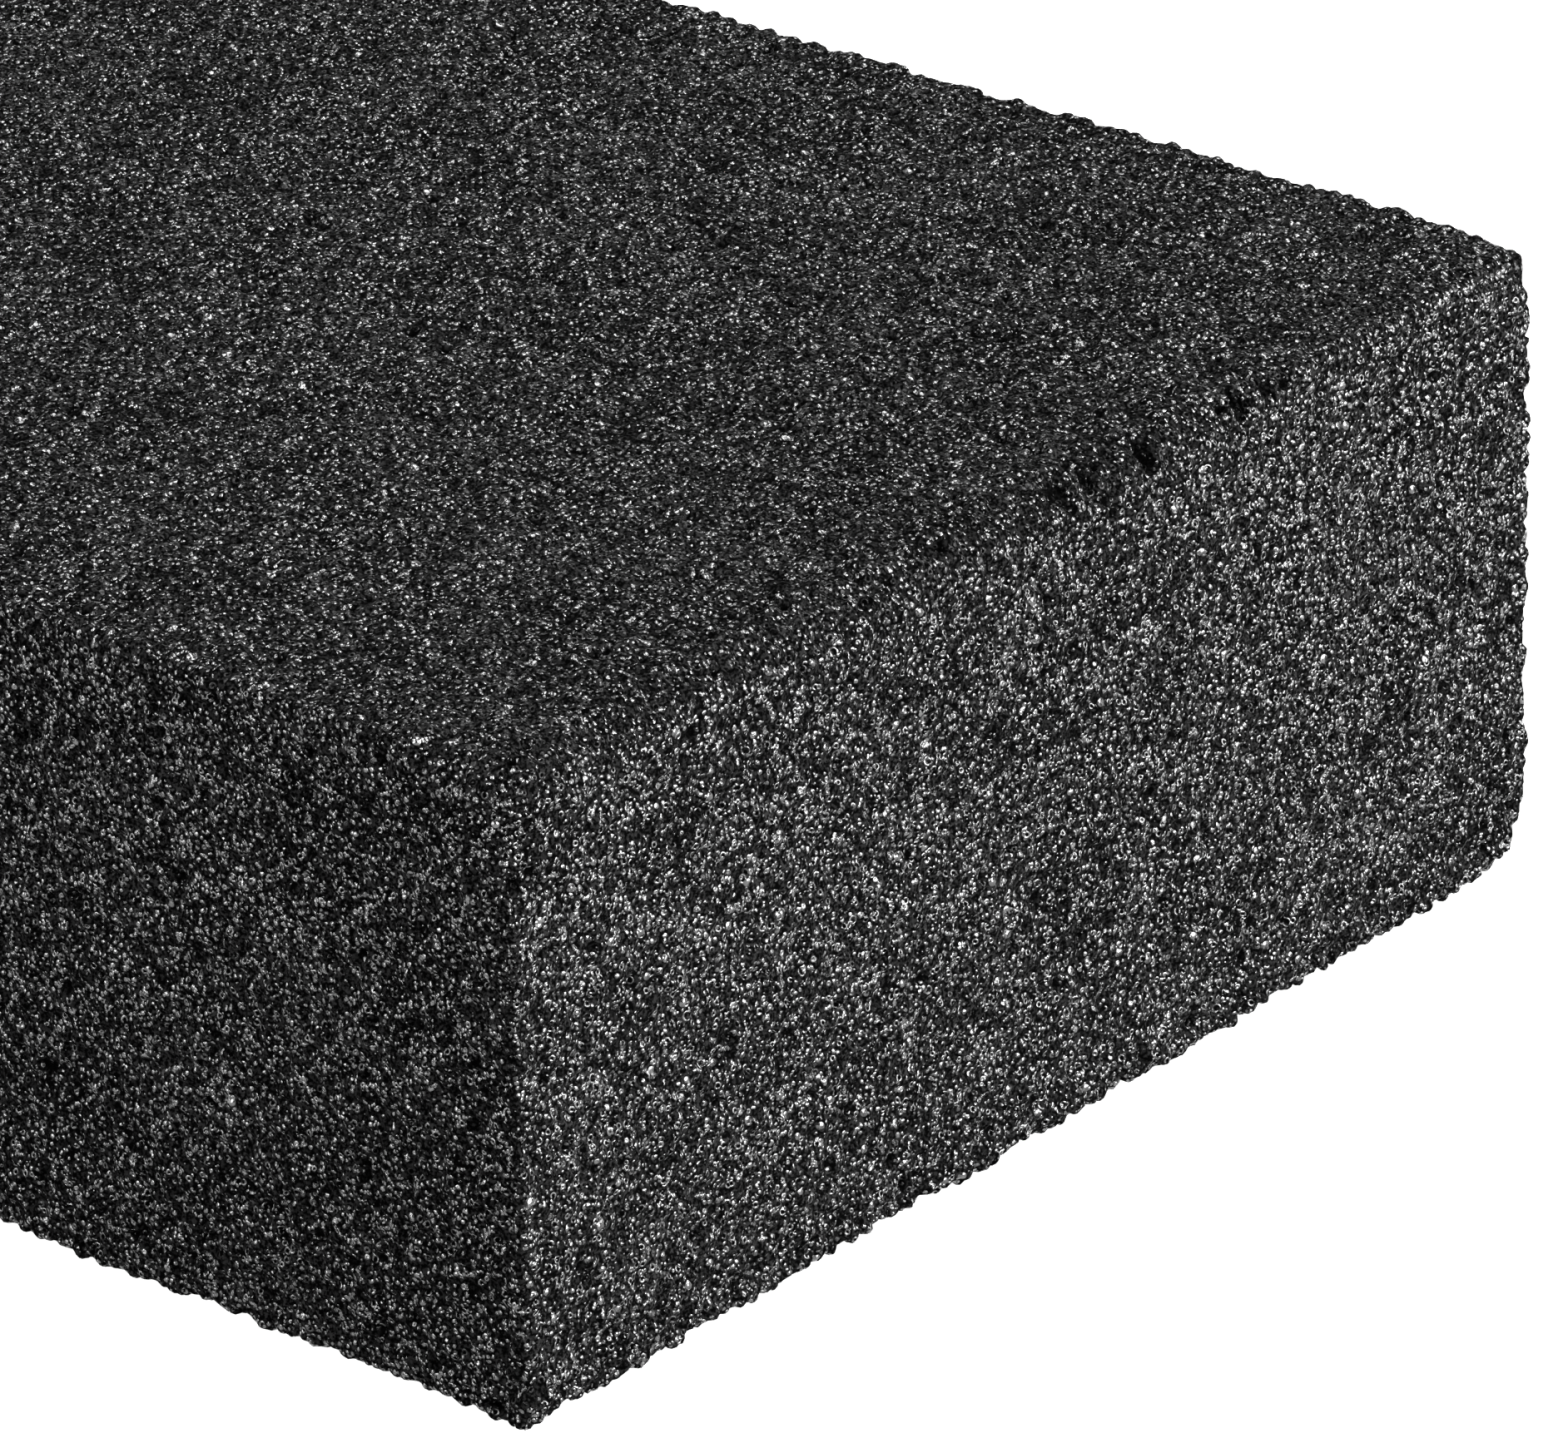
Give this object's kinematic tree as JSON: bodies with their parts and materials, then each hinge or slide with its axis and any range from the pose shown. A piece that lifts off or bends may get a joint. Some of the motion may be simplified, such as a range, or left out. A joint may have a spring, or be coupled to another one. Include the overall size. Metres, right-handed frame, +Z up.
{
  "type": "chalkboard eraser",
  "caption": "Soft open-cell foam block for wiping a chalkboard, with a thin board let into its underside to keep it flat.",
  "frame": {"origin": "middle of the footprint, on the surface that the eraser lies on", "axes": "+X along the length, towards the end with the worn top edge; +Y across the width; +Z up, out of the wiping face"},
  "size_m": [0.127, 0.058, 0.025],
  "materials": {
    "open_cell_foam": "black open-cell foam with small glossy cell walls",
    "hardboard": "smooth brown pressed fibre board",
    "contact_adhesive": "dried amber contact adhesive"
  },
  "bodies": {
    "root": {"foam_block": "open_cell_foam", "backing_board": "hardboard", "adhesive_film": "contact_adhesive"}
  },
  "joints": []
}
